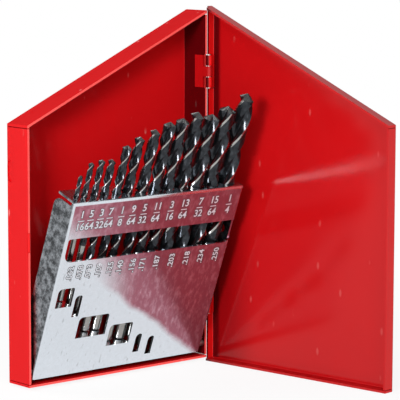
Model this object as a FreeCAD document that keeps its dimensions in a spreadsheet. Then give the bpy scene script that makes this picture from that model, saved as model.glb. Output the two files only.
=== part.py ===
import FreeCAD, Part
import math
import os
import re

# Sheet steel case for thirteen twist drills, standing open like a book.
# Frame: origin in the middle of the tray's bottom face, +Z up, the tray open to -Y,
# the hinge on the +X side.  The lid is built closed about the hinge axis and the drill
# stand upright, then each is turned into its rest pose.  All lengths in millimetres.

doc = FreeCAD.newDocument("drill_case")
sheet = doc.addObject("Spreadsheet::Sheet", "Sizes")

SIZES = [
    ("tray_width", 80.3, "tray over its side walls"),
    ("tray_depth", 12.25, "tray from rim to back face"),
    ("hinge_height", 126.2, "height at the hinge wall"),
    ("free_height", 89.8, "height at the free wall"),
    ("sheet", 0.8, "thickness of all sheet"),
    ("bend", 1.1, "outer radius of a bend"),
    ("seam", 0.3, "open seam where two walls meet"),
    ("overrun", 4.0, "length of a cutter past the face that it cuts"),
    ("lap_fit", 0.15, "clearance between lid and tray where they lap"),
    ("axis_out", 0.1, "hinge axis beyond the hinge wall's outer face"),
    ("axis_front", 1.0, "hinge axis in front of the rim"),
    ("lid_front", 3.46, "lid's outer face in front of the hinge axis"),
    ("lid_depth", 4.86, "lid over its flanges"),
    ("lid_flange_gap", 0.15, "hinge flange ends this far in front of the axis"),
    ("lid_side_gap", 0.3, "hinge flange's inner face beyond the wall's outer face"),
    ("lid_open", 97.0, "degrees between closed and rest"),
    ("oval_length", 7.4, "oval emboss in the free wall"),
    ("oval_width", 3.8, "oval emboss in the free wall"),
    ("oval_rise", 0.5, "oval emboss in the free wall"),
    ("oval_level", 73.6, "centre of the oval over the base"),
    ("oval_end_share", 0.48, "round of the oval's ends against its width"),
    ("oval_back", 2.45, "centre of the oval in front of the back face"),
    ("snap_level", 50.0, "centre of the snap dent over the base"),
    ("snap_length", 6.8, "snap dent in the free wall's rim"),
    ("snap_dip", 0.7, "depth of the snap dent"),
    ("knuckle_radius", 1.15, "hinge knuckle"),
    ("hinge_pin_radius", 0.6, "hinge pin"),
    ("running_fit", 0.05, "radial clearance of pins and studs"),
    ("leaf", 0.6, "thickness of a hinge leaf"),
    ("leaf_length", 11.6, "hinge leaf along the axis"),
    ("knuckle_gap", 0.2, "between two knuckles"),
    ("leaf_depth", 4.5, "tray leaf behind the rim notch"),
    ("notch_depth", 0.5, "notch in the tray's rim for the knuckles"),
    ("notch_play", 0.3, "notch past the knuckles at each end"),
    ("upper_hinge_level", 98.6, "lower end of the upper hinge"),
    ("lower_hinge_level", 16.6, "lower end of the lower hinge"),
    ("pin_head", 0.25, "pin past the last knuckle at each end"),
    ("stand_width", 75.77, "drill stand over its side flanges"),
    ("stand_height", 66.8, "drill stand over its shelf"),
    ("stand_foot", 0.4, "panel below the datum line of the stand"),
    ("stand_depth", 10.2, "panel's front face to the flange's back edge"),
    ("stand_left", 1.48, "stand from the tray's outer free face"),
    ("stand_rise", 2.89, "stand's datum line over the base"),
    ("stand_inset", 0.17, "panel's lower edge behind the rim"),
    ("stand_tilt", 20.7, "degrees between upright and rest"),
    ("stand_gap", 1.4, "slit between shelf and flange under the shelf's top"),
    ("flange_round", 3.2, "rear corners of the side flanges"),
    ("shelf_inset_left", 1.1, "shelf's end inside the left flange's outer face"),
    ("shelf_inset_right", 0.2, "shelf's end inside the right flange's outer face"),
    ("middle_depth", 8.6, "middle shelf's rear edge behind the panel's front"),
    ("tab_depth", 7.6, "rear edge of the stop tabs behind the panel's front"),
    ("stop_play", 0.3, "drill end over its stop"),
    ("hole_play", 0.25, "radial clearance of a drill in its holes"),
    ("drill_back_top", 4.9, "drill axis behind the panel's front at the shelf"),
    ("drill_back_foot", 4.25, "drill axis behind the panel's front at the datum line"),
    ("stud_back", 2.4, "pivot axis behind the panel's front"),
    ("stud_level", 1.6, "pivot axis over the stand's datum line"),
    ("stud_radius", 1.2, "pivot stud"),
    ("stud_reach", 0.4, "stud past the flange's inner face"),
    ("flange_hole_radius", 1.5, "hole in the right side flange"),
    ("flange_hole_level", 48.1, "hole in the right side flange"),
    ("flange_hole_back", 4.6, "hole in the right side flange"),
    ("helix_angle", 30.0, "degrees of the drill flutes"),
    ("point_angle", 59.0, "half angle of the drill points"),
    ("web_share", 0.3, "half thickness of a drill's web against its radius"),
    ("hinge_x", "=tray_width / 2", "hinge wall's outer face"),
    ("rim_y", "=-tray_depth / 2", "rim plane of the tray"),
    ("axis_x", "=hinge_x + axis_out", "hinge axis"),
    ("axis_y", "=rim_y - axis_front", "hinge axis"),
    ("top_slope", "=(hinge_height - free_height) / tray_width", "rise of the top wall"),
    ("slope_wall", "=sheet * sqrt(1 + top_slope * top_slope)", "top wall's thickness upward"),
]

# Stepped windows in the stand's panel: left end, right end, sill, head.
WINDOWS = [
    (2.3, 9.2, 27.2, 34.5),
    (10.5, 13.4, 22.8, 31.0),
    (14.5, 27.6, 13.8, 22.0),
    (29.4, 39.6, 8.7, 17.0),
    (42.7, 45.3, 4.2, 11.5),
    (48.7, 51.3, 2.6, 9.8),
]
LONG_WINDOW = (1.3, 76.2, 44.7, 53.6)
FOOT_FLANGE = (53.2, 74.3)

# Drills: name, 64ths of an inch, axis from the stand's left edge, stop (window or foot),
# length over all, length of the flutes.
DRILLS = [
    ("drill_1_16", 4, 4.4, 0, 47.3, 22.2),
    ("drill_5_64", 5, 7.8, 0, 51.7, 25.4),
    ("drill_3_32", 6, 12.0, 1, 56.9, 31.8),
    ("drill_7_64", 7, 16.4, 2, 65.6, 38.1),
    ("drill_1_8", 8, 21.7, 2, 70.3, 41.3),
    ("drill_9_64", 9, 26.4, 2, 73.2, 44.5),
    ("drill_5_32", 10, 32.6, 3, 80.5, 50.8),
    ("drill_11_64", 11, 38.3, 3, 82.9, 54.0),
    ("drill_3_16", 12, 43.8, 4, 88.4, 58.7),
    ("drill_13_64", 13, 49.9, 5, 91.9, 61.9),
    ("drill_7_32", 14, 56.7, None, 92.9, 63.5),
    ("drill_15_64", 15, 63.3, None, 95.5, 66.7),
    ("drill_1_4", 16, 70.9, None, 99.8, 69.9),
]
INCH = 25.4
SIXTY_FOURTHS = 64
STEPS_PER_TURN = 8
HIDDEN_HOLE_SIDES = 12
FLUTE_STEPS = 2

for row, (alias, value, note) in enumerate(SIZES, 1):
    sheet.set("A%d" % row, alias)
    sheet.set("B%d" % row, str(value))
    sheet.set("C%d" % row, note)
    sheet.setAlias("B%d" % row, alias)
doc.recompute()
ALIASES = {alias for alias, value, note in SIZES}


def val(alias):
    return float(sheet.get(alias))


def bound(text):
    """Give each sheet name in an expression its sheet."""
    return re.sub(
        r"[a-z_]+", lambda m: "Sizes." + m.group() if m.group() in ALIASES else m.group(), str(text)
    )


def bind(obj, **expressions):
    for name, text in expressions.items():
        obj.setExpression(name.replace("__", "."), bound(text))


def box(name, x0, x1, y0, y1, z0, z1):
    obj = doc.addObject("Part::Box", name)
    bind(
        obj,
        Length="(%s) - (%s)" % (x1, x0),
        Width="(%s) - (%s)" % (y1, y0),
        Height="(%s) - (%s)" % (z1, z0),
        Placement__Base__x=x0,
        Placement__Base__y=y0,
        Placement__Base__z=z0,
    )
    return obj


def sloped(name, x0, x1, y0, y1, left, right):
    """Prism between two heights at x0 and two heights at x1."""
    obj = doc.addObject("Part::Wedge", name)
    bind(
        obj,
        Xmin="-(%s)" % y1, Xmax="-(%s)" % y0, X2min="-(%s)" % y1, X2max="-(%s)" % y0,
        Ymin=x0, Ymax=x1,
        Zmin=left[0], Zmax=left[1], Z2min=right[0], Z2max=right[1],
    )
    obj.Placement = FreeCAD.Placement(
        FreeCAD.Vector(0, 0, 0), FreeCAD.Rotation(FreeCAD.Vector(0, 0, 1), -90)
    )
    return obj


def cylinder(name, radius, length, x, y, z, axis):
    """Cylinder from a point along the direction named axis."""
    obj = doc.addObject("Part::Cylinder", name)
    bind(obj, Radius=radius, Height=length)
    turn = {"x": ((0, 1, 0), 90), "y": ((1, 0, 0), -90), "z": ((0, 0, 1), 0)}[axis]
    obj.Placement = FreeCAD.Placement(
        FreeCAD.Vector(0, 0, 0), FreeCAD.Rotation(FreeCAD.Vector(*turn[0]), turn[1])
    )
    bind(obj, Placement__Base__x=x, Placement__Base__y=y, Placement__Base__z=z)
    return obj


def rounded(name, base, pick, radius):
    """Fillet the edges of base whose middle and direction satisfy pick."""
    doc.recompute()
    obj = doc.addObject("Part::Fillet", name)
    obj.Base = base
    found = []
    for number, edge in enumerate(base.Shape.Edges, 1):
        middle = edge.valueAt((edge.FirstParameter + edge.LastParameter) / 2)
        along = edge.tangentAt((edge.FirstParameter + edge.LastParameter) / 2)
        if pick(middle, along):
            found.append((number, radius, radius))
    obj.Edges = found
    return obj


def fuse(name, *parts):
    obj = doc.addObject("Part::MultiFuse", name)
    obj.Shapes = list(parts)
    return obj


def cut(name, base, *tools):
    obj = doc.addObject("Part::Cut", name)
    obj.Base = base
    obj.Tool = tools[0] if len(tools) == 1 else fuse(name + "_tools", *tools)
    return obj


def near(a, b):
    return abs(a - b) < val("sheet") / 20


nodes = []


def node(name, obj, placement=None):
    obj.Label = name
    if placement is not None:
        obj.Placement = placement.multiply(obj.Placement)
    nodes.append(obj)


# Tray
half = "tray_width / 2"
back = "tray_depth / 2"
tray_block = sloped(
    "TrayBlock", "-hinge_x", "hinge_x", "rim_y", back,
    ("0", "free_height"), ("0", "hinge_height"),
)
tray_round = rounded(
    "TrayRound", tray_block,
    lambda m, t: near(m.y, val("tray_depth") / 2), val("bend"),
)
tray_hollow = sloped(
    "TrayHollow", "-hinge_x + sheet", "hinge_x - sheet", "rim_y - overrun", "tray_depth / 2 - sheet",
    ("sheet", "free_height + sheet * top_slope - slope_wall"),
    ("sheet", "hinge_height - sheet * top_slope - slope_wall"),
)
tray_hollow_round = rounded(
    "TrayHollowRound", tray_hollow,
    lambda m, t: near(m.y, val("tray_depth") / 2 - val("sheet")), val("bend") - val("sheet"),
)
tray_tools = [tray_hollow_round]
for side, x0, x1, low, high in (
    ("FreeTop", "-hinge_x - overrun", "-hinge_x + sheet",
     "free_height - slope_wall - seam", "free_height - slope_wall"),
    ("FreeFoot", "-hinge_x - overrun", "-hinge_x + sheet", "sheet", "sheet + seam"),
    ("HingeTop", "hinge_x - sheet", "hinge_x + overrun",
     "hinge_height - slope_wall - sheet * top_slope - seam",
     "hinge_height - slope_wall - sheet * top_slope"),
    ("HingeFoot", "hinge_x - sheet", "hinge_x + overrun", "sheet", "sheet + seam"),
):
    tray_tools.append(
        box("TraySeam" + side, x0, x1, "rim_y - overrun", "tray_depth / 2 - bend", low, high)
    )
for place in ("upper", "lower"):
    tray_tools.append(box(
        "TrayNotch" + place.title(), "hinge_x - sheet - overrun / 4", "hinge_x + overrun",
        "rim_y - overrun", "rim_y + notch_depth",
        place + "_hinge_level - notch_play", place + "_hinge_level + leaf_length + notch_play",
    ))


# The oval is pressed inward: an outer cavity and an inner swelling of the same sheet.
def oval(name, x0, x1, grow):
    """Bar with half round ends on the free wall, from x0 to x1, larger by grow all round."""
    obj = box(
        name, x0, x1,
        "tray_depth / 2 - oval_back - oval_width / 2 - " + grow,
        "tray_depth / 2 - oval_back + oval_width / 2 + " + grow,
        "oval_level - oval_length / 2 - " + grow, "oval_level + oval_length / 2 + " + grow,
    )
    doc.recompute()
    return rounded(
        name + "Round", obj, lambda m, t: abs(t.x) > 0.99, val("oval_end_share") * obj.Width.Value
    )


oval_cavity = oval("OvalCavity", "-hinge_x - overrun", "-hinge_x + oval_rise", "0")
oval_swelling = oval(
    "OvalSwelling", "-hinge_x + sheet / 2", "-hinge_x + sheet + oval_rise", "sheet / 2"
)
snap = cylinder(
    "SnapDip", "snap_dip", "snap_length", "-hinge_x", "rim_y",
    "snap_level - snap_length / 2", "z",
)
tray_shell = cut("TrayShell", tray_round, *tray_tools)
tray = cut("Tray", fuse("TrayWithOval", tray_shell, oval_swelling), oval_cavity, snap)
node("tray", tray)

# Lid, closed.  In its own frame x and y are measured from the hinge axis, z from the base.
lid_hinge = "lid_side_gap + sheet - axis_out"
lid_free = "-(tray_width + axis_out + lap_fit + sheet)"
lid_edge = "lid_depth - lid_front"
lid_lap = "(lap_fit + sheet) * slope_wall / sheet"
lid_low = "-(lap_fit + sheet)"
lid_top_free = "free_height + %s - (lap_fit + sheet) * top_slope" % lid_lap
lid_top_hinge = "hinge_height + %s + (lid_side_gap + sheet) * top_slope" % lid_lap
lid_block = sloped(
    "LidBlock", lid_free, lid_hinge, "-lid_front", lid_edge,
    (lid_low, lid_top_free), (lid_low, lid_top_hinge),
)
lid_round = rounded(
    "LidRound", lid_block, lambda m, t: near(m.y, -val("lid_front")), val("bend"),
)
lid_hollow = sloped(
    "LidHollow", lid_free + " + sheet", lid_hinge + " - sheet",
    "-lid_front + sheet", "lid_depth + overrun",
    ("-lap_fit", lid_top_free + " + sheet * top_slope - slope_wall"),
    ("-lap_fit", lid_top_hinge + " - sheet * top_slope - slope_wall"),
)
lid_hollow_round = rounded(
    "LidHollowRound", lid_hollow,
    lambda m, t: near(m.y, val("sheet") - val("lid_front")), val("bend") - val("sheet"),
)
lid_tools = [
    lid_hollow_round,
    box("LidHingeTrim", "lid_side_gap - axis_out - sheet / 4", "lid_side_gap + overrun",
        "-lid_flange_gap", "lid_depth + overrun", "-overrun", "hinge_height + overrun"),
    box("LidSeamFreeFoot", lid_free + " - overrun", lid_free + " + sheet",
        "bend - lid_front", "lid_depth + overrun", "-lap_fit", "seam - lap_fit"),
    box("LidSeamFreeTop", lid_free + " - overrun", lid_free + " + sheet",
        "bend - lid_front", "lid_depth + overrun",
        lid_top_free + " - slope_wall - seam", lid_top_free + " - slope_wall"),
]
for place in ("upper", "lower"):
    lid_tools.append(box(
        "LidNotch" + place.title(), "lid_side_gap - axis_out - sheet / 4", "lid_side_gap + overrun",
        "-(knuckle_radius + running_fit + sheet / 4)", "overrun",
        place + "_hinge_level - notch_play", place + "_hinge_level + leaf_length + notch_play",
    ))
lid_cup = cut("LidCup", lid_round, *lid_tools)
lid_bead = cylinder(
    "LidBead", "snap_dip - lap_fit - 2 * running_fit", "snap_length - 4 * sheet",
    lid_free + " + sheet", "axis_front", "snap_level - snap_length / 2 + 2 * sheet", "z",
)
lid_bead_inside = cut(
    "LidBeadInside", lid_bead,
    box("LidBeadTrim", lid_free + " - overrun", lid_free + " + sheet / 2",
        "-overrun", "overrun", "snap_level - snap_length", "snap_level + snap_length"),
    box("LidBeadEdgeTrim", lid_free, lid_free + " + overrun",
        lid_edge, "overrun", "snap_level - snap_length", "snap_level + snap_length"),
)
lid = fuse("Lid", lid_cup, lid_bead_inside)
lid_place = FreeCAD.Placement(
    FreeCAD.Vector(val("axis_x"), val("axis_y"), 0),
    FreeCAD.Rotation(FreeCAD.Vector(0, 0, 1), val("lid_open")),
)
node("lid", lid, lid_place)

# Hinges
third = "(leaf_length - 2 * knuckle_gap) / 3"
for place in ("upper", "lower"):
    level = place + "_hinge_level"
    title = place.title()
    middle_low = "%s + %s + knuckle_gap" % (level, third)
    tray_leaf = fuse(
        "TrayLeafSolid" + title,
        box("TrayLeafPlate" + title, "hinge_x - sheet - leaf", "hinge_x - sheet",
            "rim_y + notch_depth + notch_play", "rim_y + notch_depth + leaf_depth",
            level, level + " + leaf_length"),
        box("TrayLeafTongue" + title, "hinge_x - sheet - leaf", "hinge_x - sheet", "axis_y",
            "rim_y + notch_depth + leaf_depth / 2", middle_low, "%s + %s" % (middle_low, third)),
        cylinder("TrayKnuckle" + title, "knuckle_radius", third,
                 "axis_x", "axis_y", middle_low, "z"),
    )
    bore = cylinder("TrayBore" + title, "hinge_pin_radius + running_fit", "leaf_length + overrun",
                    "axis_x", "axis_y", level + " - overrun / 2", "z")
    tray_leaf = cut("TrayLeaf" + title, tray_leaf, bore)
    node("tray_hinge_leaf_" + place, tray_leaf)

    plate_x0 = "lid_side_gap - axis_out - leaf"
    lid_leaf = fuse(
        "LidLeafSolid" + title,
        box("LidLeafPlate" + title, plate_x0, "lid_side_gap - axis_out",
            "bend - lid_front", "-(knuckle_radius + running_fit + sheet / 8)",
            level, level + " + leaf_length"),
        box("LidLeafNeckLow" + title, plate_x0, "lid_side_gap - axis_out",
            "-lid_front / 2", "0", level, "%s + %s" % (level, third)),
        box("LidLeafNeckHigh" + title, plate_x0, "lid_side_gap - axis_out",
            "-lid_front / 2", "0", "%s + leaf_length - (%s)" % (level, third),
            level + " + leaf_length"),
        cylinder("LidKnuckleLow" + title, "knuckle_radius", third, "0", "0", level, "z"),
        cylinder("LidKnuckleHigh" + title, "knuckle_radius", third, "0", "0",
                 "%s + leaf_length - (%s)" % (level, third), "z"),
    )
    lid_bore = cylinder("LidBore" + title, "hinge_pin_radius + running_fit",
                        "leaf_length + overrun", "0", "0", level + " - overrun / 2", "z")
    lid_leaf = cut("LidLeaf" + title, lid_leaf, lid_bore)
    node("lid_hinge_leaf_" + place, lid_leaf, lid_place)
    node("hinge_pin_" + place, cylinder(
        "HingePin" + title, "hinge_pin_radius", "leaf_length + 2 * pin_head",
        "axis_x", "axis_y", level + " - pin_head", "z",
    ))

# Drill stand, upright.  In its own frame x runs along the panel, y behind its front face, z up from the
# datum line just above the panel's lower edge.
stand_block = box("StandBlock", "0", "stand_width", "0", "stand_depth", "-stand_foot",
                  "stand_height")
stand_round = rounded(
    "StandRound", stand_block,
    lambda m, t: near(m.y, 0) and not near(m.z, -val("stand_foot")), val("bend"),
)
stand_tools = [
    box("StandHollow", "sheet", "stand_width - sheet", "sheet", "stand_depth + overrun",
        "-stand_foot - overrun", "stand_height - sheet"),
]
for side, x0, x1 in (
    ("Left", "-overrun", "shelf_inset_left"),
    ("Right", "stand_width - shelf_inset_right", "stand_width + overrun"),
):
    stand_tools.append(box(
        "StandSlit" + side, x0, x1, "bend + sheet / 4", "stand_depth + overrun",
        "stand_height - stand_gap", "stand_height + overrun",
    ))
stand_shell = cut("StandShell", stand_round, *stand_tools)


def rear_corner(name, low):
    """Cutter that rounds a rear corner of both side flanges."""
    z0 = "-stand_foot" if low else "stand_height - stand_gap - flange_round"
    zc = "flange_round - stand_foot" if low else z0
    block = box(
        name + "Block", "-overrun", "stand_width + overrun",
        "stand_depth - flange_round", "stand_depth + overrun",
        z0 + (" - overrun" if low else ""),
        "flange_round - stand_foot" if low else "stand_height - stand_gap",
    )
    roll = cylinder(name + "Roll", "flange_round", "stand_width + 4 * overrun",
                    "-2 * overrun", "stand_depth - flange_round", zc, "x")
    return cut(name, block, roll)


def window(name, x0, x1, z0, z1, radii, depth="sheet + overrun / 4"):
    """Opening through the panel with a radius at each corner (low/high, left/right)."""
    obj = box(name, x0, x1, "-overrun", depth, z0, z1)
    for number, (is_right, is_high, radius) in enumerate(radii):
        obj = rounded(
            "%s_%d" % (name, number), obj,
            lambda m, t: abs(t.y) > 0.99
            and near(m.x, x1 if is_right else x0) and near(m.z, z1 if is_high else z0),
            radius,
        )
    return obj


small_round = val("sheet")
large_round = 2 * val("sheet")
openings = [rear_corner("CornerHigh", False), rear_corner("CornerLow", True)]
openings.append(window("LongWindow", *LONG_WINDOW, [
    (False, False, 4 * val("sheet")), (True, False, 5 * val("sheet")),
    (False, True, small_round), (True, True, small_round),
], "sheet + running_fit"))
for number, (x0, x1, z0, z1) in enumerate(WINDOWS):
    openings.append(window(
        "Window%d" % number, x0, x1, z0, z1, [(False, True, large_round), (True, True, small_round)]
    ))
openings.append(cylinder(
    "FlangeHole", "flange_hole_radius", "4 * sheet", "stand_width - 2 * sheet",
    "flange_hole_back", "flange_hole_level", "x",
))
for side, x in (("Left", "-sheet"), ("Right", "stand_width - 2 * sheet")):
    openings.append(cylinder(
        "StudHole" + side, "stud_radius + running_fit", "3 * sheet", x,
        "stud_back", "stud_level", "x",
    ))
stand_open = cut("StandOpen", stand_shell, *openings)
tabs = [
    box("MiddleShelf", LONG_WINDOW[0] + val("bend"), LONG_WINDOW[1] - val("bend"), "0",
        "middle_depth", LONG_WINDOW[3], "%s + sheet" % LONG_WINDOW[3]),
    box("FootFlange", FOOT_FLANGE[0], FOOT_FLANGE[1], "0", "tab_depth", "-stand_foot",
        "sheet - stand_foot"),
]
for number, (x0, x1, z0, z1) in enumerate(WINDOWS):
    tabs.append(box("StopTab%d" % number, x0, x1, "0", "tab_depth", "%s - sheet" % z0, z0))
stand_full = fuse("StandFull", stand_open, *tabs)

lean = math.degrees(math.atan2(
    val("drill_back_top") - val("drill_back_foot"), val("stand_height")
))
axis_turn = FreeCAD.Rotation(FreeCAD.Vector(1, 0, 0), -lean)
axis_back = "drill_back_foot + (drill_back_top - drill_back_foot) * (%s) / stand_height"
holes = []
for name, parts, x, stop, length, flutes in DRILLS:
    radius = "%s / 2 + hole_play" % (INCH * parts / SIXTY_FOURTHS)
    holes.append(cylinder(
        "TopHole_" + name, radius, "2 * sheet", str(x), axis_back % "stand_height",
        "stand_height - 3 * sheet / 2", "z",
    ))
    hidden = doc.addObject("Part::Prism", "MiddleHole_" + name)
    hidden.Polygon = HIDDEN_HOLE_SIDES
    bind(
        hidden,
        Circumradius="(%s) / cos(180 deg / %d)" % (radius, HIDDEN_HOLE_SIDES),
        Height="2 * sheet",
        Placement__Base__x=str(x),
        Placement__Base__y=axis_back % LONG_WINDOW[3],
        Placement__Base__z="%s - sheet / 2" % LONG_WINDOW[3],
    )
    holes.append(hidden)
stand = cut("Stand", stand_full, *holes)
stand_place = FreeCAD.Placement(
    FreeCAD.Vector(
        val("stand_left") - val("tray_width") / 2, val("stand_inset") - val("tray_depth") / 2,
        val("stand_rise"),
    ),
    FreeCAD.Rotation(FreeCAD.Vector(1, 0, 0), val("stand_tilt")),
)
node("drill_stand", stand, FreeCAD.Placement(stand_place))

# Pivot studs on the side walls
tilt = math.radians(val("stand_tilt"))
pivot = stand_place.multVec(FreeCAD.Vector(0, val("stud_back"), val("stud_level")))
left_gap = val("stand_left") - val("sheet")
right_gap = val("tray_width") - val("stand_left") - val("stand_width") - val("sheet")
for side, wall, gap, heading in (
    ("left", -val("tray_width") / 2 + val("sheet"), left_gap, 1),
    ("right", val("tray_width") / 2 - val("sheet"), right_gap, -1),
):
    reach = gap + val("sheet") + val("stud_reach")
    stud = cylinder(
        "Stud" + side.title(), "stud_radius", reach,
        wall if heading > 0 else wall - reach, pivot.y, pivot.z, "x",
    )
    node("stand_pivot_stud_" + side, stud)


# Twist drills
def flute_section(radius, turn):
    """Ten points round one cross section: two lands with a flute between them."""
    web = val("web_share") * radius
    shape = [(-46, radius), (-13, radius), (20, radius), (58, 1.45 * web), (95, web)]
    points = []
    for start in (0, 180):
        for degrees, reach in shape:
            angle = math.radians(start + degrees + turn)
            points.append((reach * math.cos(angle), reach * math.sin(angle)))
    return points


def drill_shape(radius, length, flute_length):
    """Shank, helical flutes of flat triangles and a cone point, up from the origin."""
    pitch = 2 * math.pi * radius / math.tan(math.radians(val("helix_angle")))
    tip = radius / math.tan(math.radians(val("point_angle")))
    top = length - tip
    low = length - flute_length
    count = max(FLUTE_STEPS, round((top - low) / pitch * STEPS_PER_TURN))
    levels = [low + (top - low) * i / count for i in range(count + 1)]
    rings = []
    for z in levels:
        turn = 360.0 * (z - low) / pitch
        rings.append([FreeCAD.Vector(x, y, z) for x, y in flute_section(radius, turn)])
    faces = []

    def face(points):
        faces.append(Part.Face(Part.makePolygon(list(points) + [points[0]])))

    for lower, upper in zip(rings, rings[1:]):
        for i in range(len(lower)):
            j = (i + 1) % len(lower)
            face([lower[i], lower[j], upper[j]])
            face([lower[i], upper[j], upper[i]])
    apex = FreeCAD.Vector(0, 0, length)
    middle = FreeCAD.Vector(0, 0, low)
    for i in range(len(rings[0])):
        j = (i + 1) % len(rings[0])
        face([rings[-1][i], rings[-1][j], apex])
        face([rings[0][j], rings[0][i], middle])
    fluted = Part.makeSolid(Part.makeShell(faces))
    if fluted.Volume < 0:
        fluted.reverse()
    shank = Part.makeCylinder(radius, low)
    return shank.fuse(fluted)


for name, parts, x, stop, length, flutes in DRILLS:
    radius = INCH * parts / SIXTY_FOURTHS / 2
    floor = WINDOWS[stop][2] if stop is not None else val("sheet") - val("stand_foot")
    foot = floor + val("stop_play")
    start = FreeCAD.Vector(x, val("drill_back_foot"), 0) + axis_turn.multVec(
        FreeCAD.Vector(0, 0, foot + radius * math.sin(math.radians(lean)))
    )
    drill = doc.addObject("Part::Feature", "D_" + name)
    drill.Shape = drill_shape(radius, length, flutes)
    drill.Placement = stand_place.multiply(FreeCAD.Placement(start, axis_turn))
    drill.Label = name
    nodes.append(drill)

doc.recompute()
for obj in doc.Objects:
    if "Invalid" in obj.State or "Error" in obj.State:
        raise RuntimeError("%s did not build" % obj.Label)
os.makedirs("parts", exist_ok=True)
for obj in nodes:
    shape = obj.Shape
    if shape.isNull() or not shape.isValid():
        raise RuntimeError("%s has no valid shape" % obj.Label)
    print("%-24s solids %d volume %9.2f faces %4d" % (
        obj.Label, len(shape.Solids), shape.Volume, len(shape.Faces)))
    shape.exportStep("parts/%s.step" % obj.Label)
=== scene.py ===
"""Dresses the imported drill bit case: enamel, zinc plate, stamped sizes, fluted drills, studio."""
import math

import bmesh
import bpy
from bpy.props import FloatProperty, FloatVectorProperty, PointerProperty
from mathutils import Euler, Matrix, Vector


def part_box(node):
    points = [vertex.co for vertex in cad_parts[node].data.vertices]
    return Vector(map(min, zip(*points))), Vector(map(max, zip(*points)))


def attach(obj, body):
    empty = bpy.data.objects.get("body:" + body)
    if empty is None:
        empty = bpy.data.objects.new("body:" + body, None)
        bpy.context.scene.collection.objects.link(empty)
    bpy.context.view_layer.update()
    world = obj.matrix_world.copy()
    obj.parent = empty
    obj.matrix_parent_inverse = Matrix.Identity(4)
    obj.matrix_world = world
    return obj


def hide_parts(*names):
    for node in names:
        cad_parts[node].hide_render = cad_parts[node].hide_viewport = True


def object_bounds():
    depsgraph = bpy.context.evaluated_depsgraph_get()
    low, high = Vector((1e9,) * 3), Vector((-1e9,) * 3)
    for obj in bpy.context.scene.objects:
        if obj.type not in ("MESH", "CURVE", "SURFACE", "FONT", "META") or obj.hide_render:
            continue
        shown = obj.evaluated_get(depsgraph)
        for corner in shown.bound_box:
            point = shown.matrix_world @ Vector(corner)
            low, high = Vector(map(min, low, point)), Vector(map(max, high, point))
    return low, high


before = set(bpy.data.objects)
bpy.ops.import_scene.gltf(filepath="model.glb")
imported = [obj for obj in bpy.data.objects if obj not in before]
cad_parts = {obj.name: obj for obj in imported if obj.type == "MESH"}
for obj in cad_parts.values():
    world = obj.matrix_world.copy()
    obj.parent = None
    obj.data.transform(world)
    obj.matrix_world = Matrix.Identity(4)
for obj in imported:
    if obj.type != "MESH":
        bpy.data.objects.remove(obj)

CAD_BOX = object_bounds()

bl_info = {
    "name": "Drill bit case",
    "version": (1, 0, 0),
    "blender": (4, 5, 0),
    "location": "View3D > Sidebar > Drill case",
    "description": "Finishes and small parts of a sheet steel case for twist drills",
    "category": "Object",
}

MM = 0.001

# Fraction's top and bottom, decimal size, node.
DRILLS = [
    ("1", "16", ".062", "drill_1_16"),
    ("5", "64", ".078", "drill_5_64"),
    ("3", "32", ".093", "drill_3_32"),
    ("7", "64", ".109", "drill_7_64"),
    ("1", "8", ".125", "drill_1_8"),
    ("9", "64", ".140", "drill_9_64"),
    ("5", "32", ".156", "drill_5_32"),
    ("11", "64", ".171", "drill_11_64"),
    ("3", "16", ".187", "drill_3_16"),
    ("13", "64", ".203", "drill_13_64"),
    ("7", "32", ".218", "drill_7_32"),
    ("15", "64", ".234", "drill_15_64"),
    ("1", "4", ".250", "drill_1_4"),
]
INCH = 25.4 * MM
# Font size against the height of its digits, and the bar between a fraction's two numbers.
DIGIT_SIZE = 1.36
BAR_WIDTH = 2.6 * MM
BAR_HEIGHT = 0.25 * MM
# Columns of the stamped sizes from the panel's left edge, and the drills' own measures,
# in millimetres: label column, decimal column, axis, stop level, length, flute length.
STATIONS = [
    (4.7, 5.4, 4.4, 27.2, 47.3, 22.2),
    (8.6, 9.5, 7.8, 27.2, 51.7, 25.4),
    (12.9, 13.3, 12.0, 22.8, 56.9, 31.8),
    (16.8, 17.6, 16.4, 13.8, 65.6, 38.1),
    (21.8, 22.5, 21.7, 13.8, 70.3, 41.3),
    (26.7, 26.8, 26.4, 13.8, 73.2, 44.5),
    (31.6, 32.4, 32.6, 8.7, 80.5, 50.8),
    (37.4, 36.8, 38.3, 8.7, 82.9, 54.0),
    (43.7, 43.2, 43.8, 4.2, 88.4, 58.7),
    (49.7, 50.0, 49.9, 2.6, 91.9, 61.9),
    (56.9, 56.9, 56.7, 0.4, 92.9, 63.5),
    (63.2, 63.6, 63.3, 0.4, 95.5, 66.7),
    (70.5, 70.6, 70.9, 0.4, 99.8, 69.9),
]


class SheetSizes(bpy.types.PropertyGroup):
    stand_tilt: FloatProperty(
        name="Stand tilt", description="Lean of the drill stand at rest",
        default=math.radians(20.7), unit="ROTATION",
    )
    stand_left: FloatProperty(
        name="Stand from wall", description="Stand's left face from the tray's free wall",
        default=1.48 * MM, unit="LENGTH",
    )
    stand_rise: FloatProperty(
        name="Stand rise", description="Stand's datum line over the base",
        default=2.89 * MM, unit="LENGTH",
    )
    stand_inset: FloatProperty(
        name="Stand inset", description="Panel's lower edge behind the rim",
        default=0.17 * MM, unit="LENGTH",
    )
    stand_height: FloatProperty(
        name="Stand height", description="Shelf's top over the stand's datum line",
        default=66.8 * MM, unit="LENGTH",
    )
    drill_back_top: FloatProperty(
        name="Drill at shelf", description="Drill axis behind the panel at the shelf",
        default=4.9 * MM, unit="LENGTH",
    )
    drill_back_foot: FloatProperty(
        name="Drill at foot", description="Drill axis behind the panel at the datum line",
        default=4.25 * MM, unit="LENGTH",
    )


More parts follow.
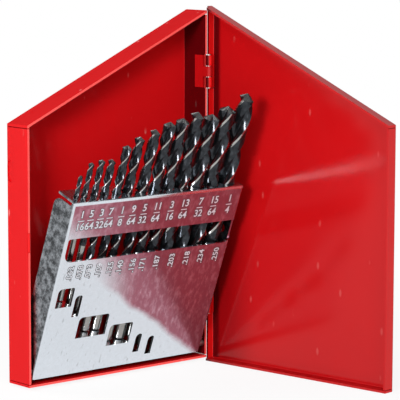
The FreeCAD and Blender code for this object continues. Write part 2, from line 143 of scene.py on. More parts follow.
class StampSizes(bpy.types.PropertyGroup):
    upper_height: FloatProperty(
        name="Upper height", description="Height of the fractions' upper numbers",
        default=2.8 * MM, unit="LENGTH",
    )
    lower_height: FloatProperty(
        name="Lower height", description="Height of the fractions' lower numbers",
        default=2.75 * MM, unit="LENGTH",
    )
    decimal_height: FloatProperty(
        name="Decimal height", description="Height of the stamped decimals",
        default=2.4 * MM, unit="LENGTH",
    )
    upper_level: FloatProperty(
        name="Upper row", description="Centre of the fractions' upper numbers",
        default=62.5 * MM, unit="LENGTH",
    )
    lower_level: FloatProperty(
        name="Lower row", description="Centre of the fractions' lower numbers",
        default=57.9 * MM, unit="LENGTH",
    )
    decimal_level: FloatProperty(
        name="Decimals", description="Centre of the decimals",
        default=40.2 * MM, unit="LENGTH",
    )
    stroke: FloatProperty(
        name="Stroke", description="Growth of a digit's stroke inside its dark rim",
        default=0.04 * MM, unit="LENGTH",
    )
    # The dark rim is painted shadow round each stamped stroke.
    rim: FloatProperty(
        name="Rim", description="Dark rim round a stamped stroke",
        default=0.26 * MM, unit="LENGTH",
    )
    relief: FloatProperty(
        name="Relief", description="Stamped burr over the panel",
        default=0.04 * MM, unit="LENGTH",
    )


class DrillSizes(bpy.types.PropertyGroup):
    helix: FloatProperty(
        name="Helix", description="Angle of the flutes",
        default=math.radians(30), unit="ROTATION",
    )
    point: FloatProperty(
        name="Point", description="Half angle of the point",
        default=math.radians(59), unit="ROTATION",
    )
    web_share: FloatProperty(
        name="Web share", description="Half web against the radius", default=0.3, min=0.1, max=0.9,
    )


class Finishes(bpy.types.PropertyGroup):
    enamel: FloatVectorProperty(
        name="Enamel", description="Red stove enamel", subtype="COLOR", size=3,
        default=(0.56, 0.005, 0.007), min=0.0, max=1.0,
    )
    zinc: FloatVectorProperty(
        name="Zinc", description="Zinc plated sheet", subtype="COLOR", size=3,
        default=(0.70, 0.745, 0.80), min=0.0, max=1.0,
    )
    oxide: FloatVectorProperty(
        name="Oxide", description="Blackened drill flutes", subtype="COLOR", size=3,
        default=(0.045, 0.050, 0.058), min=0.0, max=1.0,
    )
    bright_steel: FloatVectorProperty(
        name="Bright steel", description="Ground shanks and margins", subtype="COLOR", size=3,
        default=(0.55, 0.54, 0.52), min=0.0, max=1.0,
    )


# Shader maths
class Value:
    """A shader socket that adds, subtracts and multiplies as a number does."""

    def __init__(self, material, socket):
        self.material = material
        self.socket = socket

    def maths(self, operation, other, swap=False):
        pair = (other, self) if swap else (self, other)
        return self.material.node(
            "ShaderNodeMath", {"operation": operation}, {0: pair[0], 1: pair[1]}
        )

    def __add__(self, other):
        return self.maths("ADD", other)

    __radd__ = __add__

    def __mul__(self, other):
        return self.maths("MULTIPLY", other)

    __rmul__ = __mul__

    def __sub__(self, other):
        return self.maths("SUBTRACT", other)

    def __rsub__(self, other):
        return self.maths("SUBTRACT", other, swap=True)


class Finish:
    """One procedural material on Object coordinates."""

    def __init__(self, name):
        self.data = bpy.data.materials.new(name)
        self.data.use_nodes = True
        self.tree = self.data.node_tree
        self.tree.nodes.clear()
        self.place = self.node("ShaderNodeTexCoord", out="Object")

    def node(self, kind, settings=None, sockets=None, out=0):
        """New node with its settings and input sockets; gives one of its outputs."""
        made = self.tree.nodes.new(kind)
        for name, value in (settings or {}).items():
            setattr(made, name, value)
        for name, value in (sockets or {}).items():
            if isinstance(value, Value):
                self.tree.links.new(value.socket, made.inputs[name])
            else:
                made.inputs[name].default_value = value
        return Value(self, made.outputs[out])

    def noise(self, size, detail=2.0, rough=0.5, vector=None):
        """Clouds of about the given size in metres."""
        sockets = {
            "Vector": vector or self.place, "Scale": 1.0 / size, "Detail": detail,
            "Roughness": rough,
        }
        return self.node("ShaderNodeTexNoise", {}, sockets, "Fac")

    def cells(self, size, vector):
        """Distance to scattered points that lie about one size apart, as a share of it."""
        sockets = {"Vector": vector, "Scale": 1.0 / size}
        return self.node("ShaderNodeTexVoronoi", {}, sockets, "Distance")

    def step(self, value, low, high, start=0.0, end=1.0):
        """Smooth change from start to end while value goes from low to high."""
        return self.node(
            "ShaderNodeMapRange", {"interpolation_type": "SMOOTHSTEP"},
            {"Value": value, "From Min": low, "From Max": high, "To Min": start, "To Max": end},
            "Result",
        )

    def mix(self, share, first, second):
        """First colour at share 0, second at share 1."""
        return self.node(
            "ShaderNodeMix", {"data_type": "RGBA"}, {0: share, 6: rgba(first), 7: rgba(second)}, 2
        )

    def part(self, vector, axis):
        """One component of a vector."""
        return self.node("ShaderNodeSeparateXYZ", {}, {"Vector": vector}, axis)

    def stretched(self, scale):
        """Object coordinates scaled along each axis; a scale below 1 draws a pattern out."""
        return self.node("ShaderNodeMapping", {}, {"Vector": self.place, "Scale": scale}, "Vector")

    def bump(self, height, strength, distance):
        return self.node(
            "ShaderNodeBump", {}, {"Height": height, "Strength": strength, "Distance": distance},
            "Normal",
        )

    def finish(self, **sockets):
        """Principled shader on the given sockets; gives the material."""
        named = {name.replace("_", " "): rgba(value) for name, value in sockets.items()}
        shader = self.node("ShaderNodeBsdfPrincipled", {}, named, "BSDF")
        out = self.tree.nodes.new("ShaderNodeOutputMaterial")
        self.tree.links.new(shader.socket, out.inputs["Surface"])
        return self.data


def rgba(value):
    """Colours get an alpha; numbers, vectors and links stay."""
    if isinstance(value, (tuple, list)) and len(value) == 3:
        return (*value, 1.0)
    return value


def tinted(colour, share):
    """Darker or lighter colour."""
    return tuple(min(1.0, channel * share) for channel in colour)


# Colours laid over the enamel: dust, painted shade, painted light on faces that look to the front
# and a painted glint on the rim.
DUST = (0.62, 0.16, 0.15)
DEEP_SHADE = (0.02, 0.0, 0.001)
PAINTED_FRONT_LIGHT = (0.9, 0.008, 0.008)
PAINTED_RIM_GLINT = (0.95, 0.11, 0.10)
# Limits of the normal's component for faces that look towards -X or -Y, and that look up.
FACING_MINUS = (-0.9, -0.6)
FACING_UP = (0.4, 0.8)
# Where the tray's painted dark corner beside the hinge and its painted rim glint begin and end.
CORNER_X = (34 * MM, 38 * MM)
RIM_Y = (-6.0 * MM, -5.4 * MM)
# Painted shade along the hinge's fold on the lid, and its wider foot, a painted shadow of the
# stand, strongest at FOOT_SHADE.
FOLD_Y = (-10.5 * MM, -8.5 * MM)
FOOT_Y = (-30 * MM, -12 * MM)
FOOT_Z = (40 * MM, 75 * MM)
FOOT_SHADE = 0.55
# Radius of a dust speck in shares of the cells' size, and the clouds in which dust and scuffs
# lie. A scuff takes SCUFF_LOSS of the gloss.
SPECK = (0.06, 0.14)
DUST_CLOUD = (0.44, 0.56)
SCUFF_CLOUD = (0.55, 0.75)
SCUFF_LOSS = 0.2


def enamel(name, share, dust, gloss, blur=0.1, top_matt=0.0, corner=0.0, front=0.0, fold=0.0,
           rim=0.0):
    """Gloss enamel with a slight orange peel, dust specks and faint scuffs.

    top_matt is the gloss that faces looking up lose, corner and fold the depth of the painted shade
    beside the hinge and along its fold, and front and rim the strength of the painted light on
    faces that look to the front and of the painted glint on the tray's front rim, all as shares.
    """
    made = Finish(name)
    colour = tinted(tuple(bpy.context.scene.case_finishes.enamel), share)
    normal = made.node("ShaderNodeTexCoord", out="Normal")
    across, forward, height = (made.part(made.place, axis) for axis in "XYZ")
    up = made.step(made.part(normal, "Z"), *FACING_UP)
    to_front = made.step(made.part(normal, "Y"), *FACING_MINUS, 1.0, 0.0)
    hinge_side = made.step(made.part(normal, "X"), *FACING_MINUS, 1.0, 0.0)

    cloud = made.noise(26 * MM, detail=3.0)
    base = made.mix(cloud, tinted(colour, 0.92), tinted(colour, 1.08))
    smears = made.stretched((1.0, 1.0, 0.4))
    specks = made.step(made.cells(5 * MM, smears), *SPECK, 1.0, 0.0)
    sparse = made.step(made.noise(9 * MM, detail=1.0), *DUST_CLOUD) * dust
    base = made.mix(specks * sparse, base, DUST)
    # Painted shade: the tray's hinge-side faces are darkened in the corner beside the hinge.
    base = made.mix(hinge_side * made.step(across, *CORNER_X) * corner, base, DEEP_SHADE)
    # Painted light on faces that look to the front.
    base = made.mix(to_front * front, base, PAINTED_FRONT_LIGHT)
    # Painted highlight: a light line along the tray's front rim.
    at_rim = made.step(forward, *RIM_Y, 1.0, 0.0)
    base = made.mix(to_front * at_rim * rim, base, PAINTED_RIM_GLINT)
    # Painted shade along the hinge's fold and a painted shadow of the stand at its foot, on the
    # lid.
    fold_shade_mask = made.step(forward, *FOLD_Y)
    foot = made.step(forward, *FOOT_Y) * made.step(height, *FOOT_Z, FOOT_SHADE, 0.0)
    painted_shade = fold_shade_mask + foot - fold_shade_mask * foot
    base = made.mix(painted_shade * hinge_side * fold, base, DEEP_SHADE)

    peel = made.noise(0.9 * MM) * 0.4 + made.noise(9 * MM, detail=1.0) * 1.6
    wiped = made.stretched((1.0, 1.0, 0.25))
    scuffs = made.step(made.noise(4 * MM, detail=4.0, rough=0.7, vector=wiped), *SCUFF_CLOUD)
    shine = gloss - up * (gloss * top_matt) - scuffs * (gloss * SCUFF_LOSS)
    return made.finish(
        Base_Color=base, Roughness=0.4, Specular_IOR_Level=0.0, Coat_Weight=shine,
        Coat_Roughness=blur, Normal=made.bump(peel, strength=0.2, distance=0.03 * MM),
    )


# Painted rosy reflection on the zinc, above a wavy line that falls towards the right side. Its
# lower limit is a sharp crease on the right and a soft fade on the left.
PAINTED_ROSY_REFLECTION = (0.31, 0.10, 0.14)
PAINTED_REFLECTION_STREAK = (0.47, 0.25, 0.31)
REFLECTION_SLOPE = 0.62
REFLECTION_WAVE = 4 * MM
CREASE_RISE = (24.5 * MM, 28 * MM)
CREASE_X = (-25 * MM, 0.0)
FADE_RISE = (27 * MM, 43 * MM)
# Limits of the normal: the square of its X on a flange, its part along the panel's own.
FLANGE_FACING = (0.5, 0.9)
PANEL_FACING = (0.93, 0.99)
# Clouds in which spots, streaks, scratches and dirt lie.
SPOT_CLOUD = (0.38, 0.66)
STREAK_CLOUD = (0.45, 0.7)
SCRATCH_CLOUD = (0.62, 0.70)
DIRT_CLOUD = (0.66, 0.72)


def zinc_sheet():
    """Zinc plate: a smooth front with a painted rosy reflection, and mottled side flanges."""
    made = Finish("Zinc plate")
    colour = tuple(bpy.context.scene.case_finishes.zinc)
    normal = made.node("ShaderNodeTexCoord", out="Normal")
    sideways = made.part(normal, "X")
    side = made.step(sideways * sideways, *FLANGE_FACING)
    tilt = bpy.context.scene.case_sheet.stand_tilt
    facing = made.node(
        "ShaderNodeVectorMath", {"operation": "DOT_PRODUCT"},
        {0: normal, 1: (0.0, -math.cos(tilt), -math.sin(tilt))}, "Value",
    )

    across = made.part(made.place, "X")
    rise = made.part(made.place, "Z") + across * REFLECTION_SLOPE
    rise = rise + made.noise(12 * MM, detail=3.0) * REFLECTION_WAVE
    crease = made.step(rise, *CREASE_RISE) * made.step(across, *CREASE_X)
    reflection_fade = made.step(rise, *FADE_RISE)
    rosy_reflection = (crease + reflection_fade - crease * reflection_fade) * made.step(facing, *PANEL_FACING)

    grain = made.noise(1.1 * MM, detail=4.0, rough=0.65)
    spots = made.step(made.noise(2.8 * MM, detail=6.0, rough=0.78), *SPOT_CLOUD)
    drawn = made.stretched((1.0, 1.0, 0.12))
    scratch = made.step(
        made.noise(1.2 * MM, detail=3.0, rough=0.6, vector=drawn), *SCRATCH_CLOUD
    )
    dirt = made.step(made.noise(0.9 * MM, detail=3.0, rough=0.8), *DIRT_CLOUD)
    smooth = made.mix(grain, tinted(colour, 0.90), tinted(colour, 1.06))
    smooth = made.mix(scratch * 0.35 + dirt * 0.5, smooth, tinted(colour, 0.4))
    run = made.stretched((1.0, 1.0, 0.35))
    streak = made.step(made.noise(1.8 * MM, detail=5.0, rough=0.7, vector=run), *STREAK_CLOUD)
    # Painted rosy reflection laid over the smooth front.
    smooth = made.mix(rosy_reflection, smooth, made.mix(streak, PAINTED_ROSY_REFLECTION, PAINTED_REFLECTION_STREAK))
    mottled = made.mix(spots, tinted(colour, 0.06), tinted(colour, 0.47))
    base = made.mix(side, smooth, mottled)
    relief = grain * 0.5 + made.noise(6 * MM) * 1.5 + scratch * 0.3 + spots * side
    return made.finish(
        Base_Color=base, Metallic=1.0 - rosy_reflection * 0.3,
        Roughness=0.13 + grain * 0.06 + side * 0.12 + rosy_reflection * 0.05,
        Normal=made.bump(relief, strength=0.12, distance=0.04 * MM),
    )


def stamped_zinc(name, share, metallic):
    """Zinc of the stamped figures: their bright strokes and the painted shadow of their dark rims.
    """
    made = Finish(name)
    colour = tuple(bpy.context.scene.case_finishes.zinc)
    worn = made.noise(0.5 * MM)
    base = made.mix(worn, tinted(colour, 0.75 * share), tinted(colour, 1.25 * share))
    return made.finish(Base_Color=base, Metallic=metallic, Roughness=0.4 + worn * 0.2)


def plain_steel(name, share, rough):
    """Ground steel with fine marks round the turned surface."""
    made = Finish(name)
    colour = tinted(tuple(bpy.context.scene.case_finishes.bright_steel), share)
    turned = made.stretched((0.3, 0.3, 3.0))
    rings = made.noise(0.6 * MM, detail=3.0, rough=0.6, vector=turned)
    base = made.mix(rings, tinted(colour, 0.6), tinted(colour, 1.4))
    return made.finish(
        Base_Color=base, Metallic=1.0, Roughness=rough + rings * 0.12,
        Normal=made.bump(rings, strength=0.1, distance=0.01 * MM),
    )


# Oxide worn thin, and the clouds in which oil blotches and wear lie.
WORN_OXIDE = (0.17, 0.18, 0.20)
BLOTCH_CLOUD = (0.35, 0.7)
WEAR_CLOUD = (0.55, 0.75)


def oxide_flutes():
    """Blackened steel, blotchy where oil has dried and worn in streaks along the drill."""
    made = Finish("Black oxide")
    colour = tuple(bpy.context.scene.case_finishes.oxide)
    blotch = made.step(made.noise(1.6 * MM, detail=4.0, rough=0.6), *BLOTCH_CLOUD)
    fine = made.noise(0.3 * MM)
    drawn = made.stretched((1.0, 1.0, 0.3))
    worn = made.step(made.noise(0.7 * MM, detail=3.0, rough=0.7, vector=drawn), *WEAR_CLOUD)
    base = made.mix(blotch, tinted(colour, 0.45), tinted(colour, 0.95))
    base = made.mix(worn * 0.22, base, WORN_OXIDE)
    return made.finish(
        Base_Color=base, Metallic=0.8, Roughness=0.14 + blotch * 0.08, Specular_IOR_Level=0.4,
        Normal=made.bump(fine, strength=0.08, distance=0.02 * MM),
    )


DARK_POINT = (0.02, 0.022, 0.028)
LIGHT_POINT = (0.11, 0.11, 0.105)


def drill_points():
    """Ground points, dark and mottled."""
    made = Finish("Ground points")
    mottle = made.noise(0.5 * MM)
    base = made.mix(mottle, DARK_POINT, LIGHT_POINT)
    return made.finish(Base_Color=base, Metallic=0.9, Roughness=0.22 + mottle * 0.1)


def paint(node, material):
    """Give a CAD node its finish."""
    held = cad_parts[node].data.materials
    held.clear()
    held.append(material)


def stand_matrix():
    """From the stand's own frame (along, behind, up) to the row frame."""
    sizes = bpy.context.scene.case_sheet
    tray_low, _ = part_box("tray")
    origin = Vector((
        tray_low[0] + sizes.stand_left, tray_low[1] + sizes.stand_inset, sizes.stand_rise,
    ))
    return Matrix.Translation(origin) @ Matrix.Rotation(sizes.stand_tilt, 4, "X")


def finished(name, mesh, body):
    """New piece on a mesh that moves with a body."""
    piece = bpy.data.objects.new(name, mesh)
    bpy.context.scene.collection.objects.link(piece)
    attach(piece, body)
    return piece


class CASE_OT_enamel(bpy.types.Operator):
    """Enamel the tray, the lid and the hinges"""

    bl_idname = "case.enamel"
    bl_label = "Enamelled sheet"

    def execute(self, context):
        # The tray gets painted shade in the corner beside the hinge and a painted glint on its
        # front rim.
        tray_paint = enamel(
            "Tray enamel", share=0.92, dust=0.9, gloss=0.22, top_matt=0.7, corner=0.88, rim=0.8
        )
        # The lid's enamel is a darker copy of the tray's, share 0.67 against 0.92, as painted
        # shade.
        shaded_lid_paint = enamel(
            # The lid gets painted light on its front faces and painted shade along the hinge.
            "Shaded lid enamel", share=0.67, dust=0.22, gloss=0.5, blur=0.13, front=0.5, fold=0.85
        )
        leaf_paint = enamel("Hinge leaf enamel", share=0.7, dust=0.0, gloss=0.8)
        paint("tray", tray_paint)
        paint("lid", shaded_lid_paint)
        for place in ("upper", "lower"):
            paint("tray_hinge_leaf_" + place, leaf_paint)
            paint("lid_hinge_leaf_" + place, shaded_lid_paint)
            paint("hinge_pin_" + place, plain_steel("Hinge pin " + place, share=0.9, rough=0.3))
        return {"FINISHED"}


class CASE_OT_stand(bpy.types.Operator):
    """Zinc the drill stand and finish its pivot studs"""

    bl_idname = "case.stand"
    bl_label = "Drill stand"

    def execute(self, context):
        paint("drill_stand", zinc_sheet())
        stud = plain_steel("Pivot stud", share=0.95, rough=0.3)
        paint("stand_pivot_stud_left", stud)
        paint("stand_pivot_stud_right", stud)
        return {"FINISHED"}


def figure(text, height, stroke, relief):
    """Mesh of plain digits, centred, facing -Y with their tops up."""
    curve = bpy.data.curves.new("Figure", "FONT")
    curve.body = text
    curve.align_x = "CENTER"
    curve.align_y = "CENTER"
    curve.size = height * DIGIT_SIZE
    curve.extrude = relief
    curve.offset = stroke
    curve.resolution_u = 3
    source = bpy.data.objects.new("Figure", curve)
    mesh = bpy.data.meshes.new_from_object(source)
    bpy.data.objects.remove(source)
    mesh.transform(Matrix.Rotation(math.radians(90), 4, "X"))
    return mesh


def bar(width, height, grow, relief):
    """Mesh of a fraction's bar, centred, facing -Y."""
    shape = bmesh.new()
    bmesh.ops.create_cube(shape, size=1.0)
    bmesh.ops.scale(shape, verts=shape.verts, vec=(width + grow, 2 * relief, height + grow))
    mesh = bpy.data.meshes.new("Bar")
    shape.to_mesh(mesh)
    shape.free()
    return mesh


class CASE_OT_stampings(bpy.types.Operator):
    """Stamp the drill sizes in the stand's panel"""

    bl_idname = "case.stampings"
    bl_label = "Stamped sizes"

    def execute(self, context):
        sizes = context.scene.case_stamps
        strokes = stamped_zinc("Stamped strokes", share=0.85, metallic=0.2)
        # The dark rims are painted shadow round the strokes.
        rim_shadows = stamped_zinc("Stamped rim shadows", share=0.05, metallic=0.0)
        self.stamp("stamped_sizes", strokes, sizes.stroke, share=1.0)
        self.stamp("stamped_rim_shadows", rim_shadows, sizes.rim, share=0.5)
        return {"FINISHED"}

    def stamp(self, name, material, stroke, share):
        """One piece of all the figures, its strokes grown and its relief cut to a share."""
        sizes = bpy.context.scene.case_stamps
        place = stand_matrix()
        relief = sizes.relief * share
        middle = (sizes.upper_level + sizes.lower_level) / 2
        joined = bmesh.new()
        for (upper, lower, decimal, _), station in zip(DRILLS, STATIONS):
            label, column = station[0] * MM, station[1] * MM
            marks = (
                (figure(upper, sizes.upper_height, stroke, relief), label, sizes.upper_level, 0),
                (figure(lower, sizes.lower_height, stroke, relief), label, sizes.lower_level, 0),
                (figure(decimal, sizes.decimal_height, stroke, relief), column,
                 sizes.decimal_level, 90),
                (bar(BAR_WIDTH, BAR_HEIGHT, stroke, relief), label, middle, 0),
            )
            for mesh, along, level, turn in marks:
                spin = Matrix.Rotation(math.radians(-turn), 4, "Y")
                mesh.transform(place @ Matrix.Translation((along, 0, level)) @ spin)
                joined.from_mesh(mesh)
                bpy.data.meshes.remove(mesh)
        bmesh.ops.remove_doubles(joined, verts=joined.verts, dist=0.001 * MM)
        bmesh.ops.recalc_face_normals(joined, faces=joined.faces)
        mesh = bpy.data.meshes.new(name)
        joined.to_mesh(mesh)
        joined.free()
        mesh.materials.append(material)
        finished(name, mesh, "stand_body")


# Twist drills
RING = 48
STEPS_PER_TURN = 40
OXIDE, SHANK, MARGIN, POINT = range(4)
# Half of the section in degrees: the land takes the first part, and its margin's full radius
# the start of that. The rest of the land lies a little lower.
HALF_TURN = 180
LAND_DEGREES, MARGIN_DEGREES = 82, 19
LAND_RADIUS = 0.965
# Faces whose middle lies in this part of the margin are ground bright.
BRIGHT_DEGREES = MARGIN_DEGREES - 1
# Shares of the drill's radius: foot end and its chamfer, length over which the flutes run
# out, and the flat that is left at the point's tip.
FOOT_RADIUS = 0.88
CHAMFER = 0.12
RUN_OUT = 2.2
TIP_FLAT = 0.04
# Share of the point's height above which its faces are ground.
GROUND_FROM = 0.02
SHARP_ANGLE = math.radians(35)
# Play over the stop tab, and the turn from one drill to the next about their own axes.
STOP_PLAY = 0.3 * MM
DRILL_TURN = math.radians(137.5)


def flute_reach(angle, web_share):
    """Radius share of a two-flute section at an angle in degrees."""
    local = angle % HALF_TURN
    if local < MARGIN_DEGREES:
        return 1.0
    if local < LAND_DEGREES:
        return LAND_RADIUS
    dip = math.sin(math.pi * (local - LAND_DEGREES) / (HALF_TURN - LAND_DEGREES))
    return 1.0 - (1.0 - web_share) * dip


def lift(shape, edges, index, rise):
    """Extrude a ring of edges upwards; gives the new edges and the new vertices' numbers."""
    made = bmesh.ops.extrude_edge_only(shape, edges=edges)["geom"]
    verts = [item for item in made if isinstance(item, bmesh.types.BMVert)]
    upper = {}
    for vert in verts:
        for edge in vert.link_edges:
            other = edge.other_vert(vert)
            if other in index:
                upper[vert] = index[other]
    bmesh.ops.translate(shape, verts=verts, vec=(0, 0, rise))
    new_edges = [
        item for item in made
        if isinstance(item, bmesh.types.BMEdge) and all(vert in upper for vert in item.verts)
    ]
    return new_edges, upper


def twist_drill(name, radius, length, flutes):
    """Shank, helical flutes and a cone point, up from the origin, by extruding one ring."""
    sizes = bpy.context.scene.case_drills
    shape = bmesh.new()
    ring = bmesh.ops.create_circle(shape, cap_ends=False, segments=RING, radius=radius)["verts"]
    edges = list(shape.edges)
    bmesh.ops.contextual_create(shape, geom=edges)
    pitch = 2 * math.pi * radius / math.tan(sizes.helix)
    tip = radius / math.tan(sizes.point)
    low, top = length - flutes, length - tip
    start = [math.degrees(math.atan2(vert.co.y, vert.co.x)) for vert in ring]
    index = {vert: number for number, vert in enumerate(ring)}

    chamfer = radius * CHAMFER
    bmesh.ops.scale(shape, verts=ring, vec=(FOOT_RADIUS, FOOT_RADIUS, 1.0))
    edges, index = lift(shape, edges, index, chamfer)
    bmesh.ops.scale(shape, verts=list(index), vec=(1 / FOOT_RADIUS, 1 / FOOT_RADIUS, 1.0))
    edges, index = lift(shape, edges, index, low - chamfer)
    count = max(4, round((top - low) / pitch * STEPS_PER_TURN))
    for step in range(1, count + 1):
        height = (top - low) * step / count
        edges, index = lift(shape, edges, index, (top - low) / count)
        turn = 2 * math.pi * height / pitch
        depth = min(1.0, height / (radius * RUN_OUT))
        for vert, number in index.items():
            share = flute_reach(start[number], sizes.web_share)
            reach = radius * (1.0 - (1.0 - share) * depth)
            angle = math.radians(start[number]) + turn
            vert.co.x = reach * math.cos(angle)
            vert.co.y = reach * math.sin(angle)
    edges, index = lift(shape, edges, index, tip)
    bmesh.ops.scale(shape, verts=list(index), vec=(TIP_FLAT, TIP_FLAT, 1.0))
    bmesh.ops.contextual_create(shape, geom=edges)
    bmesh.ops.recalc_face_normals(shape, faces=shape.faces)

    for face in shape.faces:
        centre = face.calc_center_median()
        if centre.z > top + tip * GROUND_FROM:
            face.material_index = POINT
        elif centre.z < low:
            face.material_index = SHANK
        else:
            turn = 2 * math.pi * (centre.z - low) / pitch
            local = math.degrees(math.atan2(centre.y, centre.x) - turn) % HALF_TURN
            face.material_index = MARGIN if local < BRIGHT_DEGREES else OXIDE
        face.smooth = True
    mesh = bpy.data.meshes.new(name)
    shape.to_mesh(mesh)
    shape.free()
    mesh.set_sharp_from_angle(angle=SHARP_ANGLE)
    return mesh


class CASE_OT_drills(bpy.types.Operator):
    """Turn thirteen twist drills and set them in the stand"""

    bl_idname = "case.drills"
    bl_label = "Twist drills"

    def execute(self, context):
        sizes = context.scene.case_sheet
        place = stand_matrix()
        lean = math.atan2(sizes.drill_back_top - sizes.drill_back_foot, sizes.stand_height)
        finishes = [
            oxide_flutes(),
            plain_steel("Drill shank", share=0.6, rough=0.18),
            plain_steel("Drill margin", share=0.75, rough=0.2),
            drill_points(),
        ]
        turn = Matrix.Rotation(-lean, 4, "X")
        for number, ((upper, lower, _, node), station) in enumerate(zip(DRILLS, STATIONS)):
            radius = INCH * float(upper) / float(lower) / 2
            along, stop, length, flutes = (size * MM for size in station[2:])
            mesh = twist_drill("fluted_" + node, radius, length, flutes)
            foot = Vector((0, 0, stop + STOP_PLAY + radius * math.sin(lean)))
            origin = Vector((along, sizes.drill_back_foot, 0)) + turn @ foot
            spin = Matrix.Rotation(DRILL_TURN * number, 4, "Z")
            mesh.transform(place @ Matrix.Translation(origin) @ turn @ spin)
            for material in finishes:
                mesh.materials.append(material)
            piece = finished("fluted_" + node, mesh, node + "_body")
            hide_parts(node)
        return {"FINISHED"}


# Stage
# Camera fitted to the photo: eye, turns in radians, and the focal length and the optical
# centre in shares of the image's width.
IMAGE_WIDTH = 400
EYE = Vector((-0.47376, -0.588645, 0.1612))
YAW, PITCH, ROLL = math.radians(41.0), 0.12938, 0.0016
FOCAL_SHARE = 2168.1 / IMAGE_WIDTH
CENTRE_X, CENTRE_Y = 191.4 / IMAGE_WIDTH, 193.55 / IMAGE_WIDTH
SENSOR = 36.0
# The floor is part white near the object, and all white from the end of the fade on.
FLOOR_SHARE = 0.88
FADE_START, FADE_END = 0.10, 0.30
FLOOR_GAP = 0.05 * MM
FLOOR_SIZE = 4.0
PAPER_DARK = (0.92, 0.92, 0.92)
PAPER_LIGHT = (0.94, 0.94, 0.94)
WORLD_LIGHT = 0.28
# Square lamps: name, place, target, side in metres, power in watts.
LAMPS = [
    ("key", (-0.58, -0.32, 0.22), (0.02, -0.02, 0.06), 0.16, 4.4),
    ("fill", (-0.30, -0.72, 0.45), (0.0, 0.0, 0.05), 0.5, 2.6),
    ("top", (-0.15, 0.25, 0.55), (0.0, 0.0, 0.10), 0.3, 1.4),
]


def lamp(name, place, target, size, power):
    """Square area lamp that points from its place to its target."""
    data = bpy.data.lights.new(name, "AREA")
    data.shape = "SQUARE"
    data.size = size
    data.energy = power
    made = bpy.data.objects.new(name, data)
    bpy.context.scene.collection.objects.link(made)
    made.location = place
    made.rotation_euler = (Vector(target) - Vector(place)).to_track_quat("-Z", "Y").to_euler()
    return made


def shown_to_camera(tree, lighting, shown):
    """Camera, glossy and transmission rays meet the shown shader, all others the lighting."""
    path = tree.nodes.new("ShaderNodeLightPath")
    seen = path.outputs["Is Camera Ray"]
    for name in ("Is Glossy Ray", "Is Transmission Ray"):
        either = tree.nodes.new("ShaderNodeMath")
        either.operation = "MAXIMUM"
        tree.links.new(seen, either.inputs[0])
        tree.links.new(path.outputs[name], either.inputs[1])
        seen = either.outputs[0]
    mix = tree.nodes.new("ShaderNodeMixShader")
    tree.links.new(seen, mix.inputs[0])
    tree.links.new(lighting, mix.inputs[1])
    tree.links.new(shown, mix.inputs[2])
    return mix.outputs[0]


def white_paper():
    """Pale floor that takes the shadow near the object and fades to plain white round it."""
    made = Finish("White paper")
    away = made.node("ShaderNodeVectorMath", {"operation": "LENGTH"}, {0: made.place}, "Value")
    plain = made.step(away, FADE_START, FADE_END, FLOOR_SHARE, 1.0)
    tone = made.mix(made.noise(20 * MM, detail=3.0), PAPER_DARK, PAPER_LIGHT)
    paper = made.node(
        "ShaderNodeBsdfPrincipled", {},
        {"Base Color": tone, "Roughness": 0.9, "Specular IOR Level": 0.1}, "BSDF",
    )
    white = made.node("ShaderNodeEmission", {}, {"Strength": 1.0}, "Emission")
    faded = made.node("ShaderNodeMixShader", {}, {0: plain, 1: paper, 2: white}, "Shader")
    out = made.tree.nodes.new("ShaderNodeOutputMaterial")
    surface = shown_to_camera(made.tree, paper.socket, faded.socket)
    made.tree.links.new(surface, out.inputs["Surface"])
    return made.data


def lay_floor():
    """Wide sheet of paper just under the case."""
    shape = bmesh.new()
    bmesh.ops.create_grid(shape, x_segments=1, y_segments=1, size=FLOOR_SIZE)
    low = CAD_BOX[0]
    bmesh.ops.translate(shape, verts=shape.verts, vec=(0, 0, low[2] - FLOOR_GAP))
    mesh = bpy.data.meshes.new("floor")
    shape.to_mesh(mesh)
    shape.free()
    mesh.materials.append(white_paper())
    floor = bpy.data.objects.new("floor", mesh)
    bpy.context.scene.collection.objects.link(floor)
    return floor


def light_surround():
    """World that the camera and reflections meet as plain white, and that lights the rest."""
    world = bpy.data.worlds.new("Studio")
    bpy.context.scene.world = world
    world.use_nodes = True
    tree = world.node_tree
    tree.nodes.clear()
    light = tree.nodes.new("ShaderNodeBackground")
    light.inputs["Strength"].default_value = WORLD_LIGHT
    white = tree.nodes.new("ShaderNodeBackground")
    white.inputs["Color"].default_value = (1.0, 1.0, 1.0, 1.0)
    white.inputs["Strength"].default_value = 1.0
    out = tree.nodes.new("ShaderNodeOutputWorld")
    surface = shown_to_camera(tree, light.outputs[0], white.outputs[0])
    tree.links.new(surface, out.inputs["Surface"])


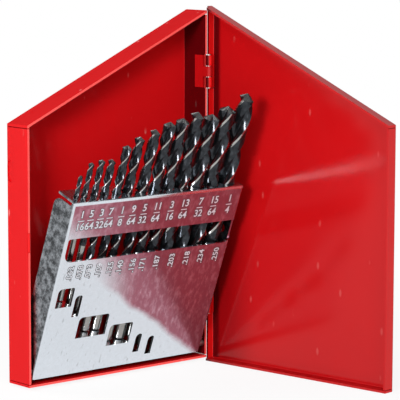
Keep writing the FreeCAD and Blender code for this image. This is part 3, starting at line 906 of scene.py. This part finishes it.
def place_camera():
    """Camera of the photo."""
    data = bpy.data.cameras.new("camera")
    data.sensor_width = SENSOR
    data.lens = SENSOR * FOCAL_SHARE
    data.shift_x = 0.5 - CENTRE_X
    data.shift_y = CENTRE_Y - 0.5
    data.clip_start = 0.01
    camera = bpy.data.objects.new("camera", data)
    bpy.context.scene.collection.objects.link(camera)
    camera.location = EYE
    camera.rotation_euler = Euler((math.pi / 2 - PITCH, -ROLL, -YAW), "XYZ")
    bpy.context.scene.camera = camera


class CASE_OT_stage(bpy.types.Operator):
    """Floor, soft lamps, white surround and the camera"""

    bl_idname = "case.stage"
    bl_label = "Stage"

    def execute(self, context):
        floor = lay_floor()
        light_surround()
        lamps = [lamp(*row) for row in LAMPS]
        place_camera()
        context.scene.view_settings.view_transform = "Standard"
        return {"FINISHED"}


class CASE_PT_panel(bpy.types.Panel):
    bl_idname = "CASE_PT_panel"
    bl_label = "Drill case"
    bl_space_type = "VIEW_3D"
    bl_region_type = "UI"
    bl_category = "Drill case"

    def draw(self, context):
        for operator in OPERATORS:
            self.layout.operator(operator.bl_idname)
        for holder, group in GROUPS.items():
            for name in group.__annotations__:
                self.layout.prop(getattr(context.scene, holder), name)


OPERATORS = (CASE_OT_enamel, CASE_OT_stand, CASE_OT_stampings, CASE_OT_drills, CASE_OT_stage)
GROUPS = {
    "case_sheet": SheetSizes,
    "case_stamps": StampSizes,
    "case_drills": DrillSizes,
    "case_finishes": Finishes,
}


def register():
    for group in GROUPS.values():
        bpy.utils.register_class(group)
    for name, group in GROUPS.items():
        setattr(bpy.types.Scene, name, PointerProperty(type=group))
    for kind in (*OPERATORS, CASE_PT_panel):
        bpy.utils.register_class(kind)


def unregister():
    for kind in reversed((*OPERATORS, CASE_PT_panel)):
        bpy.utils.unregister_class(kind)
    for name, group in GROUPS.items():
        delattr(bpy.types.Scene, name)
        bpy.utils.unregister_class(group)


def main():
    register()
    bpy.ops.case.enamel()
    bpy.ops.case.stand()
    bpy.ops.case.stampings()
    bpy.ops.case.drills()
    bpy.ops.case.stage()


if __name__ == "__main__":
    main()
